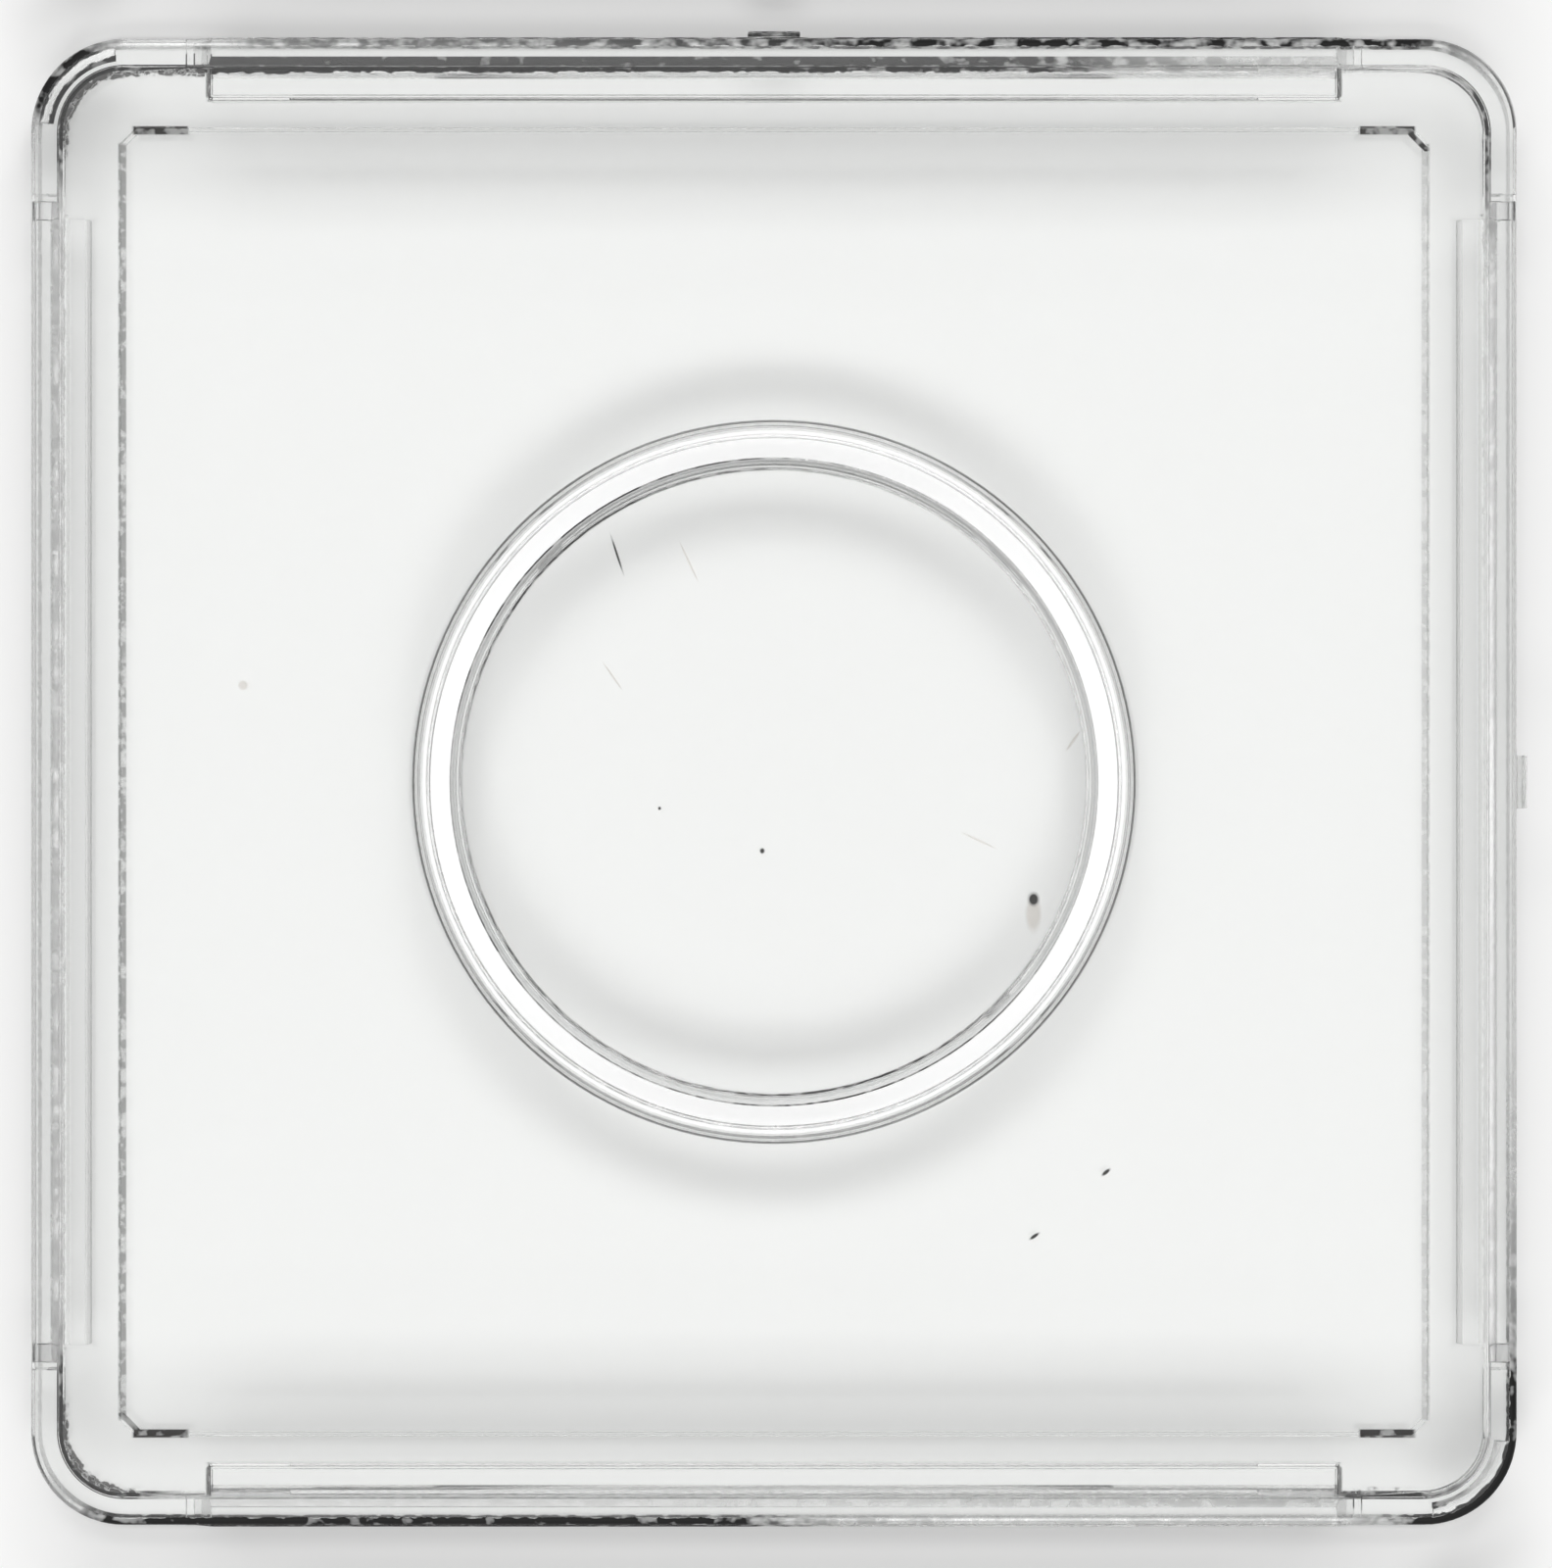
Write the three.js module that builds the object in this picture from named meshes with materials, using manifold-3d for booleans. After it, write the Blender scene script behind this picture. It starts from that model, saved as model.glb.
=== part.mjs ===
// Snap-lock coin holder: two clear mouldings of one shape that snap together face to face
// and keep a single coin in a round pocket between them.
//
// Millimetres, +Z up. The closed holder lies on z = 0 with its middle above the origin.
// One half is drawn with its seam at z = 0 and its panel below it. The lower half stands that
// way up, and the upper half is the same moulding turned over about the x = y diagonal, so the
// tongues of each half meet the skirts of the other.

import * as THREE from 'three';
import { mergeVertices } from 'three/addons/utils/BufferGeometryUtils.js';
import Module from 'manifold-3d';

const wasm = await Module();
wasm.setup();

// The closed holder
const side = 50.8;
const closedThickness = 6.35;
const cornerRadius = 3.25;
const outerEdgeRadius = 0.25;
const outerDraft = 0.1;

// The stacking rim that stands round the window on each flat side
const rimWidth = 3.12;
const rimHeight = 0.5;
const rimSlope = 0.08;
const windowCornerCut = 0.5;

// Panel and outer wall of one half
const panelThickness = 1.2;
const wallThickness = 0.95;
const wallDraft = 0.06;

// The coin and the ring that holds it
const coinDiameter = 21.2;
const coinThickness = 1.95;
const coinSidePlay = 0.1;
const coinFacePlay = 0.05;
const coinLeadIn = 0.35;
const ringWall = 1.15;
const ringDraft = 0.12;
const ringFootFillet = 0.5;
const ringEdgeChamfer = 0.08;
const ringSeamGap = 0.05;

// Tongues: two sides of the outer wall that rise past the seam
const tongueRise = 1.9;
const tongueTipInset = 6.2;
const tongueEndTaper = 0.6;
const tongueLeadIn = 0.25;

// Cut-outs in the other two sides, which take the tongues of the other half
const cutOutEndClearance = 0.25;
const cutOutFloorClearance = 0.1;

// Skirts: inner walls behind the cut-outs, which the tongues snap over
const skirtThickness = 1.0;
const skirtDraft = 0.12;
const skirtEndInset = 6.2;
const skirtTipClearance = 0.1;
const skirtLeadIn = 0.3;
const lapClearance = 0.1;

// Snap bead inside each tongue, and its groove in the skirt of the other half
const beadRadius = 0.2;
const beadBelowTip = 0.8;
const beadEndMargin = 2.8;
const grooveClearance = 0.1;

// Notches at two opposite corners for a fingernail
const notchReach = 2.9;
const notchDepth = 0.75;
const notchHeight = 1.2;

// Stub of the moulding gate in the middle of one side
const gateWidth = 1.8;
const gateHeight = 0.8;
const gateProud = 0.3;
const gateBelowSeam = 1.4;

// Fineness of the round shapes, and how far a cut or a joined piece runs past a face
const cornerSegments = 20;
const roundSegments = 144;
const beadSegments = 16;
const filletSegments = 6;
const edgeSegments = 3;
const past = 0.4;

// Heights and distances that follow from the sizes above
const halfSide = side / 2;
const outerFaceZ = -closedThickness / 2;
const windowZ = outerFaceZ + rimHeight;
const panelInnerZ = windowZ + panelThickness;
const pocketFloorZ = -coinThickness / 2 - coinFacePlay;
const pocketRadius = coinDiameter / 2 + coinSidePlay;
const ringRadius = pocketRadius + ringWall;
const ringTopZ = -ringSeamGap;
const wallInnerFace = halfSide - wallThickness;
const skirtOuterFace = wallInnerFace - lapClearance;
const skirtInnerFace = skirtOuterFace - skirtThickness;
const skirtHalfLength = halfSide - skirtEndInset;
const skirtTopZ = -panelInnerZ - skirtTipClearance;
const tongueTipHalfLength = halfSide - tongueTipInset;
const tongueRootHalfLength = tongueTipHalfLength + tongueEndTaper;
const cutOutHalfLength = tongueRootHalfLength + cutOutEndClearance;
const cutOutFloorZ = -tongueRise - cutOutFloorClearance;
const beadHalfLength = tongueTipHalfLength - beadEndMargin;
const beadAboveSeam = tongueRise - beadBelowTip;

// A closed solid from a drawn geometry, with its shared corners merged.
function solid(geometry) {
  const plain = geometry.clone();
  plain.deleteAttribute('normal');
  plain.deleteAttribute('uv');
  const merged = mergeVertices(plain, 1e-5);
  return new wasm.Manifold(new wasm.Mesh({
    numProp: 3,
    vertProperties: new Float32Array(merged.attributes.position.array),
    triVerts: new Uint32Array(merged.index.array),
  }));
}

// The geometry of a finished solid.
function geometryOf(body) {
  const mesh = body.getMesh();
  const geometry = new THREE.BufferGeometry();
  geometry.setAttribute('position', new THREE.BufferAttribute(mesh.vertProperties, 3));
  geometry.setIndex(new THREE.BufferAttribute(mesh.triVerts, 1));
  return geometry;
}

// A box between two corners.
function box(low, high) {
  const size = new THREE.Vector3().subVectors(high, low);
  const geometry = new THREE.BoxGeometry(size.x, size.y, size.z);
  geometry.translate((low.x + high.x) / 2, (low.y + high.y) / 2, (low.z + high.z) / 2);
  return solid(geometry);
}

// The corner points of a square with round corners, centred on the Z axis at one height.
function roundedSquare(halfWidth, radius, height) {
  const inner = halfWidth - radius;
  const points = [];
  for (const [sideX, sideY, start] of [[1, 1, 0], [-1, 1, 1], [-1, -1, 2], [1, -1, 3]]) {
    for (let step = 0; step <= cornerSegments; step += 1) {
      const angle = (start + step / cornerSegments) * (Math.PI / 2);
      points.push(
        sideX * inner + radius * Math.cos(angle),
        sideY * inner + radius * Math.sin(angle),
        height,
      );
    }
  }
  return points;
}

// A solid through a stack of round-cornered squares, listed from the lowest up, each as its
// inset from the full square and its height. The corners stay concentric.
function squareStack(halfWidth, radius, levels) {
  const positions = levels.flatMap(([inset, height]) => (
    roundedSquare(halfWidth - inset, radius - inset, height)
  ));
  const count = 4 * (cornerSegments + 1);
  const top = (levels.length - 1) * count;
  const index = [];
  for (let point = 1; point < count - 1; point += 1) {
    index.push(0, point + 1, point);
    index.push(top, top + point, top + point + 1);
  }
  for (let level = 0; level < top; level += count) {
    for (let point = 0; point < count; point += 1) {
      const here = level + point;
      const next = level + (point + 1) % count;
      index.push(here, next, next + count);
      index.push(here, next + count, here + count);
    }
  }
  const geometry = new THREE.BufferGeometry();
  geometry.setAttribute('position', new THREE.Float32BufferAttribute(positions, 3));
  geometry.setIndex(index);
  return solid(geometry);
}

// The outline of a square with its corners cut off at 45 degrees.
function cutCornerSquare(halfWidth, cornerCut) {
  const inner = halfWidth - cornerCut;
  return new THREE.Shape([
    new THREE.Vector2(halfWidth, -inner),
    new THREE.Vector2(halfWidth, inner),
    new THREE.Vector2(inner, halfWidth),
    new THREE.Vector2(-inner, halfWidth),
    new THREE.Vector2(-halfWidth, inner),
    new THREE.Vector2(-halfWidth, -inner),
    new THREE.Vector2(-inner, -halfWidth),
    new THREE.Vector2(inner, -halfWidth),
  ]);
}

// A profile of (radius, height) points turned round the Z axis.
function turned(profile, segments) {
  const geometry = new THREE.LatheGeometry(profile, segments);
  geometry.rotateX(Math.PI / 2);
  return solid(geometry);
}

// A section drawn as (distance out from the middle, height) points, extruded along the +X side
// from -halfLength to +halfLength in Y.
function eastBar(points, halfLength) {
  const section = new THREE.Shape(points.map(([out, height]) => new THREE.Vector2(out, height)));
  const geometry = new THREE.ExtrudeGeometry(section, { depth: 2 * halfLength, bevelEnabled: false });
  geometry.rotateX(Math.PI / 2);
  geometry.translate(0, halfLength, 0);
  return solid(geometry);
}

// A round bar along the +X side, at a distance out from the middle and a height.
function eastRod(radius, out, height, halfLength) {
  const geometry = new THREE.CylinderGeometry(radius, radius, 2 * halfLength, beadSegments);
  geometry.translate(out, 0, height);
  return solid(geometry);
}

// A solid, and its twin turned half way round the Z axis.
function eastAndWest(body) {
  return body.add(body.rotate([0, 0, 180]));
}

// A solid made for the +X and -X sides, turned to the +Y and -Y sides.
function northAndSouth(body) {
  return eastAndWest(body).rotate([0, 0, 90]);
}

// The tray: rim, window recess, panel and outer wall, with its outer edge rounded and with
// draft on both faces of the wall, so that it leaves the mould.
function makeTray() {
  const levels = [];
  for (let step = 0; step <= edgeSegments; step += 1) {
    const angle = (step / edgeSegments) * (Math.PI / 2);
    const height = outerFaceZ + outerEdgeRadius * (1 - Math.cos(angle));
    const inset = outerEdgeRadius * (1 - Math.sin(angle)) + outerDraft * (height / outerFaceZ);
    levels.push([inset, height]);
  }
  const block = squareStack(halfSide, cornerRadius, [...levels, [0, 0]]);
  const windowHalf = halfSide - rimWidth - rimSlope;
  const windowTool = new THREE.ExtrudeGeometry(cutCornerSquare(windowHalf, windowCornerCut), {
    depth: past,
    bevelEnabled: true,
    bevelSize: rimSlope,
    bevelThickness: rimHeight,
    bevelSegments: 1,
  });
  windowTool.translate(0, 0, outerFaceZ - past);
  const cavity = squareStack(wallInnerFace, cornerRadius - wallThickness, [
    [wallDraft, panelInnerZ],
    [0, 0],
    [0, past],
  ]);
  return block.subtract(solid(windowTool)).subtract(cavity);
}

// The round boss that becomes the coin's ring and floor, with draft outside and a fillet at
// its foot.
function makeBoss() {
  const foot = panelInnerZ + ringFootFillet;
  const footRadius = ringRadius + ringDraft;
  const fillet = [];
  for (let step = 0; step <= filletSegments; step += 1) {
    const angle = (step / filletSegments) * (Math.PI / 2);
    fillet.push(new THREE.Vector2(
      footRadius + ringFootFillet * (1 - Math.sin(angle)),
      foot - ringFootFillet * Math.cos(angle),
    ));
  }
  return turned([
    new THREE.Vector2(0, panelInnerZ - past),
    new THREE.Vector2(footRadius + ringFootFillet, panelInnerZ - past),
    ...fillet,
    new THREE.Vector2(ringRadius, ringTopZ - ringEdgeChamfer),
    new THREE.Vector2(ringRadius - ringEdgeChamfer, ringTopZ),
    new THREE.Vector2(0, ringTopZ),
  ], roundSegments);
}

// The pocket for one half of the coin's thickness, with a mouth that leads the coin in.
function makePocket() {
  return turned([
    new THREE.Vector2(0, pocketFloorZ),
    new THREE.Vector2(pocketRadius, pocketFloorZ),
    new THREE.Vector2(pocketRadius, ringTopZ - coinLeadIn),
    new THREE.Vector2(pocketRadius + coinLeadIn, ringTopZ),
    new THREE.Vector2(pocketRadius + coinLeadIn, past),
    new THREE.Vector2(0, past),
  ], roundSegments);
}

// A tongue on the +X side: the outer wall carried on past the seam, with its ends tapered,
// its inner tip edge eased and the snap bead along its inner face.
function makeEastTongue() {
  const middle = halfSide - wallThickness / 2;
  const bar = eastBar([
    [wallInnerFace, 0],
    [middle, -past],
    [halfSide, 0],
    [halfSide, tongueRise],
    [wallInnerFace + tongueLeadIn, tongueRise],
    [wallInnerFace, tongueRise - tongueLeadIn],
  ], tongueRootHalfLength);
  const endCut = new THREE.ExtrudeGeometry(
    new THREE.Shape([
      new THREE.Vector2(-tongueRootHalfLength, -past),
      new THREE.Vector2(tongueRootHalfLength, -past),
      new THREE.Vector2(tongueRootHalfLength, 0),
      new THREE.Vector2(tongueTipHalfLength, tongueRise),
      new THREE.Vector2(-tongueTipHalfLength, tongueRise),
      new THREE.Vector2(-tongueRootHalfLength, 0),
    ]),
    { depth: side, bevelEnabled: false },
  );
  endCut.rotateX(Math.PI / 2);
  endCut.rotateZ(Math.PI / 2);
  const bead = eastRod(beadRadius, wallInnerFace, beadAboveSeam, beadHalfLength);
  return bar.intersect(solid(endCut)).add(bead);
}

// The room that a tongue of the other half takes up in the +X side.
function makeEastCutOut() {
  return box(
    new THREE.Vector3(skirtOuterFace, -cutOutHalfLength, cutOutFloorZ),
    new THREE.Vector3(halfSide + past, cutOutHalfLength, past),
  );
}

// A skirt on the +X side, which stands on the panel and reaches into the other half. Past the
// seam its outer face follows the draft of the other half's wall.
function makeEastSkirt() {
  const outward = (height) => skirtOuterFace - wallDraft * (height / -panelInnerZ);
  const leadInZ = skirtTopZ - skirtLeadIn;
  return eastBar([
    [skirtInnerFace, panelInnerZ - past],
    [skirtOuterFace, panelInnerZ - past],
    [skirtOuterFace, 0],
    [outward(leadInZ), leadInZ],
    [outward(leadInZ) - skirtLeadIn, skirtTopZ],
    [skirtInnerFace + skirtDraft, skirtTopZ],
    [skirtInnerFace, panelInnerZ],
  ], skirtHalfLength);
}

// The groove that takes the bead of the other half's tongue on the +X side.
function makeEastGroove() {
  return eastRod(
    beadRadius + grooveClearance,
    wallInnerFace,
    -beadAboveSeam,
    beadHalfLength + grooveClearance,
  );
}

// A sloping cut at the seam round the corner at -X, +Y. It is deepest at the seam and runs out
// on the corner's face below it.
function makeNotch() {
  const centre = halfSide - cornerRadius;
  const inner = cornerRadius - notchDepth;
  const slopeEndZ = -notchHeight * (notchDepth + past) / notchDepth;
  const ringCut = turned([
    new THREE.Vector2(inner, 0),
    new THREE.Vector2(cornerRadius + past, slopeEndZ),
    new THREE.Vector2(2 * cornerRadius, slopeEndZ),
    new THREE.Vector2(2 * cornerRadius, past),
    new THREE.Vector2(inner, past),
    new THREE.Vector2(inner, 0),
  ], 4 * cornerSegments);
  const corner = box(
    new THREE.Vector3(-side, halfSide - notchReach, -closedThickness),
    new THREE.Vector3(-halfSide + notchReach, side, closedThickness),
  );
  return ringCut.translate([-centre, centre, 0]).intersect(corner);
}

// The broken-off stub of the gate, on the +Y side.
function makeGateStub() {
  const tip = gateHeight / 4;
  const section = new THREE.Shape([
    new THREE.Vector2(halfSide - wallThickness / 2, -gateHeight / 2),
    new THREE.Vector2(halfSide, -gateHeight / 2),
    new THREE.Vector2(halfSide + gateProud, -tip),
    new THREE.Vector2(halfSide + gateProud, tip),
    new THREE.Vector2(halfSide, gateHeight / 2),
    new THREE.Vector2(halfSide - wallThickness / 2, gateHeight / 2),
  ]);
  const geometry = new THREE.ExtrudeGeometry(section, { depth: gateWidth, bevelEnabled: false });
  geometry.rotateX(Math.PI / 2);
  geometry.translate(0, gateWidth / 2, -gateBelowSeam);
  return solid(geometry).rotate([0, 0, 90]);
}

// One half, with its tongues on the +Y and -Y sides and its skirts on the +X and -X sides.
function makeHalf() {
  return makeTray()
    .subtract(eastAndWest(makeEastCutOut()))
    .add(northAndSouth(makeEastTongue()))
    .add(eastAndWest(makeEastSkirt()))
    .subtract(eastAndWest(makeEastGroove()))
    .add(makeBoss())
    .subtract(makePocket())
    .add(makeGateStub())
    .subtract(eastAndWest(makeNotch()));
}

const clearPolystyrene = new THREE.MeshStandardMaterial({
  name: 'clear_polystyrene',
  color: '#eef1f1',
  roughness: 0.08,
  metalness: 0,
  transparent: true,
  opacity: 0.3,
});

const halfGeometry = geometryOf(makeHalf());

const lowerHalf = new THREE.Mesh(halfGeometry, clearPolystyrene);
lowerHalf.name = 'lower_half';

const upperHalf = new THREE.Mesh(halfGeometry, clearPolystyrene);
upperHalf.name = 'upper_half';
upperHalf.quaternion.setFromAxisAngle(new THREE.Vector3(1, 1, 0).normalize(), Math.PI);

const holder = new THREE.Group();
holder.name = 'snap_lock_coin_holder';
holder.add(lowerHalf, upperHalf);
holder.position.z = closedThickness / 2;

export default holder;
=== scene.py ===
import math

import bmesh
import bpy
from bpy.props import FloatProperty, FloatVectorProperty, IntProperty, PointerProperty
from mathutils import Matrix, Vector


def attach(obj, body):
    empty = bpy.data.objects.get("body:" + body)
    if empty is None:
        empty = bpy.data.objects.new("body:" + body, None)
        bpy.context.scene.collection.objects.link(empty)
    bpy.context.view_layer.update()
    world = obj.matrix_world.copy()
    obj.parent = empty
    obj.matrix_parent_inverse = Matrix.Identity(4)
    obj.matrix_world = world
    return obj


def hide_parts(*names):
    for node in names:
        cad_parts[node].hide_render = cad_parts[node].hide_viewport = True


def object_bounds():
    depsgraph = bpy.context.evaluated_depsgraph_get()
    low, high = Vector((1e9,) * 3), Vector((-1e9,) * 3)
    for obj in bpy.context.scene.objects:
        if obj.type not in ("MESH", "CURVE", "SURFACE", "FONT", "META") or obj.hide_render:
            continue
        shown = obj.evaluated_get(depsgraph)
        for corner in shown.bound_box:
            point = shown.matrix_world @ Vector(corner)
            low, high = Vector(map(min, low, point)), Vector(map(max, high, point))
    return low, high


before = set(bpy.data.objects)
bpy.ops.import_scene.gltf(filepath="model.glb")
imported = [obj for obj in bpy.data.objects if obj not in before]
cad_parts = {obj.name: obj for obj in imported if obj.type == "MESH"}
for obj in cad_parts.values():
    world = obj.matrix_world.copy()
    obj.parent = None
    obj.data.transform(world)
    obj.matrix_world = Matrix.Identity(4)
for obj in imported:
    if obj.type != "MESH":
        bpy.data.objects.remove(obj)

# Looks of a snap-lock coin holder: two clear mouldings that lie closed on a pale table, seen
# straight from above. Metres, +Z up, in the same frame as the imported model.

bl_info = {
    "name": "Snap-Lock Coin Holder",
    "version": (1, 0, 0),
    "blender": (4, 5, 0),
    "location": "View3D > Sidebar > Coin Holder",
    "description": "Builds the two clear halves of a coin holder and the stage they lie on",
    "category": "Add Mesh",
}

CAD_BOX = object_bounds()
SEAM_HEIGHT = (CAD_BOX[0].z + CAD_BOX[1].z) / 2
HALVES = {"lower_half": "lower_body", "upper_half": "upper_body"}

# Places of the materials on a half, where the clear plastic comes first.
FROSTED, SHADED_EDGES = 1, 2

# Heights below the seam in one half, and distances out from its middle.
OUTER_FACE = 0.003175
WINDOW_FACE = 0.002675
PANEL_INNER_FACE = 0.001475
RING_FACE = 0.00005
RING_RADIUS = 0.01185
CAVITY_EDGE = 0.023
CORNER_START = 0.022

# How dark the painted shade along the edges is, as (degrees round from +X, level).
WALL_INNER_SHADE = (
    (0, 0.1), (36, 0.25), (42, 0.75), (46, 0.75), (48, 0.2), (60, 0.4), (75, 0.8), (90, 0.95),
    (125, 1.0), (138, 1.0), (140, 0.35), (180, 0.3), (217, 0.35), (222, 1.0), (228, 1.0),
    (230, 0.15), (270, 0.2), (300, 0.3), (308, 0.35), (309, 0.9), (313, 0.8), (315, 0.2),
    (360, 0.1),
)
WALL_OUTER_SHADE = (
    (0, 0.08), (43, 0.08), (46, 0.4), (50, 0.7), (75, 0.65), (125, 0.5), (127, 0.15),
    (131, 0.15), (133, 0.7), (137, 0.9), (139, 0.1), (180, 0.15), (222, 0.08), (226, 0.4),
    (229, 1.0), (258, 1.0), (275, 0.4), (290, 0.25), (308, 0.3), (313, 1.0), (319, 1.0),
    (323, 0.5), (335, 0.3), (342, 0.1), (360, 0.08),
)
RING_INNER_SHADE = (
    (0, 0.15), (50, 0.25), (90, 0.5), (120, 0.75), (150, 0.7), (180, 0.35), (210, 0.6),
    (250, 0.5), (280, 0.75), (310, 0.6), (340, 0.2), (360, 0.15),
)
RING_OUTER_SHADE = ((0, 0.15), (90, 0.15), (180, 0.25), (250, 0.4), (300, 0.35), (360, 0.15))

# Where that painted shade lies. For the walls the bands are measured from the start of the
# rounded corners, and for the rings from the middle.
WALL_INNER_BAND = (0.00224, 0.0028)
WALL_OUTER_BAND = (0.00308, 0.00346)
RING_INNER_BAND = (0.0100, 0.0113)
RING_OUTER_BAND = (0.0115, 0.0128)
WALL_FOOT_BAND = (0.0019, 0.0022)
BAND_SOFTNESS = 0.00006
RAGGEDNESS = 0.00004
FLOOR_SHADE_SPAN = 0.00002

# Painted shade along the foot of the upper window step, as distances out from the middle.
STEP_TOP = 0.02232
CORNER_DASH_FOOT = 0.02208
CORNER_DASH_SPAN = (0.0200, 0.0218)
ACROSS_CORNER_START = 0.0215
ACROSS_CORNER_SUM = (0.04368, 0.0439)
SIDE_DASH_FOOT = 0.0221
SIDE_DASH_END = 0.0217
STEP_SOFTNESS = 0.00004
DASH_END_SOFTNESS = 0.0001
WEST_DASH_LEVEL = 0.82
EAST_DASH_LEVEL = 0.45

# Sizes of the grains of noise.
CORNER_DASH_GRAIN = 0.0005
SIDE_DASH_GRAIN = 0.0003
RAGGED_GRAIN = 0.0004
FLOOR_SHADE_GRAIN = 0.0003
PATCH_GRAIN = 0.0006
SMEAR_GRAIN = 0.006
WAVE_GRAIN = 0.008
FROST_GRAIN = 0.0002

# Faces that turn away from a ray by these shares come to count as slanting, and as grazed.
# An edge's normal comes to count as facing a lamp where its Y crosses the third range.
SLANTING = (0.2, 0.45)
GRAZED = (0.65, 0.85)
TOWARDS_LAMP = (0.05, 0.5)

# Where one part of the sky goes over into the next, along a direction's Y, Y and Z.
SKY_NORTHWARD = (0.1, 0.8)
SKY_SOUTHWARD = (-0.8, -0.1)
SKY_UPWARD = (0.25, 0.8)

# The fine shape. Points this near a face are on it, points this close are one, faces that
# turn by less than the angle are merged, and a root fillet has so many flats.
ON_FACE = 1e-6
SAME_POINT = 1e-7
FLAT_ANGLE = math.radians(0.3)
ROOT_STEPS = 4

# Where painted shade can lie on slanting faces: how upright their normal is, and how far it
# may turn along the wall.
SHADED_SLOPE = (0.2, 0.98)
SHADED_TURN = 0.3

# The camera's sensor in millimetres, the middle of its view, and how far the table lies low.
SENSOR_WIDTH = 36
VIEW_MIDDLE = (0.00007, -0.00007)
TABLE_DROP = 0.00005

# Specks and scratches on the upper window: place, half width, half length and turn in degrees.
WINDOW_HEIGHT = SEAM_HEIGHT + WINDOW_FACE
MARK_DEPTH = 0.0002
MARKS = (
    ((0.00885, -0.0040), 0.00024, 0.00030, 0),
    ((-0.0004, -0.00235), 0.00011, 0.00013, 0),
    ((-0.0039, -0.0009), 0.00007, 0.00008, 0),
    ((0.01132, -0.01330), 0.00009, 0.00024, -50),
    ((0.00888, -0.01548), 0.00008, 0.00026, -55),
    ((-0.00535, 0.00775), 0.00005, 0.00085, 18),
)
FAINT_MARKS = (
    ((0.00885, -0.0045), 0.00032, 0.00075, 0),
    ((-0.0029, 0.0075), 0.00004, 0.0009, 25),
    ((-0.0055, 0.0036), 0.00004, 0.0007, 35),
    ((0.0102, 0.0014), 0.00006, 0.0005, -35),
    ((0.0070, -0.0020), 0.00004, 0.0008, 65),
    ((-0.0181, 0.0033), 0.0002, 0.0002, 0),
)


class MouldingSettings(bpy.types.PropertyGroup):
    """Sizes of the fine shape of the two mouldings."""

    edge_round: FloatProperty(
        name="Edge rounding",
        description="How far the rounding of a moulded edge reaches on each face",
        default=0.000035,
        min=0.0,
        subtype="DISTANCE",
        unit="LENGTH",
        precision=5,
    )
    edge_steps: IntProperty(
        name="Rounding steps",
        description="Flats that make up a rounded edge",
        default=2,
        min=1,
        max=6,
    )
    root_round: FloatProperty(
        name="Root fillet",
        description="Size of the fillet where a wall or skirt stands on the panel",
        default=0.00022,
        min=0.0,
        subtype="DISTANCE",
        unit="LENGTH",
        precision=5,
    )
    step_round: FloatProperty(
        name="Window step rounding",
        description="Rounding along the step from the rim down to the window",
        default=0.000015,
        min=0.0,
        subtype="DISTANCE",
        unit="LENGTH",
        precision=6,
    )
    step_upright: FloatProperty(
        name="Window step uprightness",
        description="How far the foot of the window step moves out under its top edge",
        default=0.8,
        min=0.0,
        max=1.0,
        subtype="FACTOR",
    )
    sharp_angle: FloatProperty(
        name="Sharp angle",
        description="Edges that turn by more than this get a rounding",
        default=math.radians(25),
        subtype="ANGLE",
        unit="ROTATION",
    )
    seam_relief: FloatProperty(
        name="Seam relief",
        description="How far the faces that meet at the seam stand back from it",
        default=0.00001,
        min=0.0,
        subtype="DISTANCE",
        unit="LENGTH",
        precision=6,
    )


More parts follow.
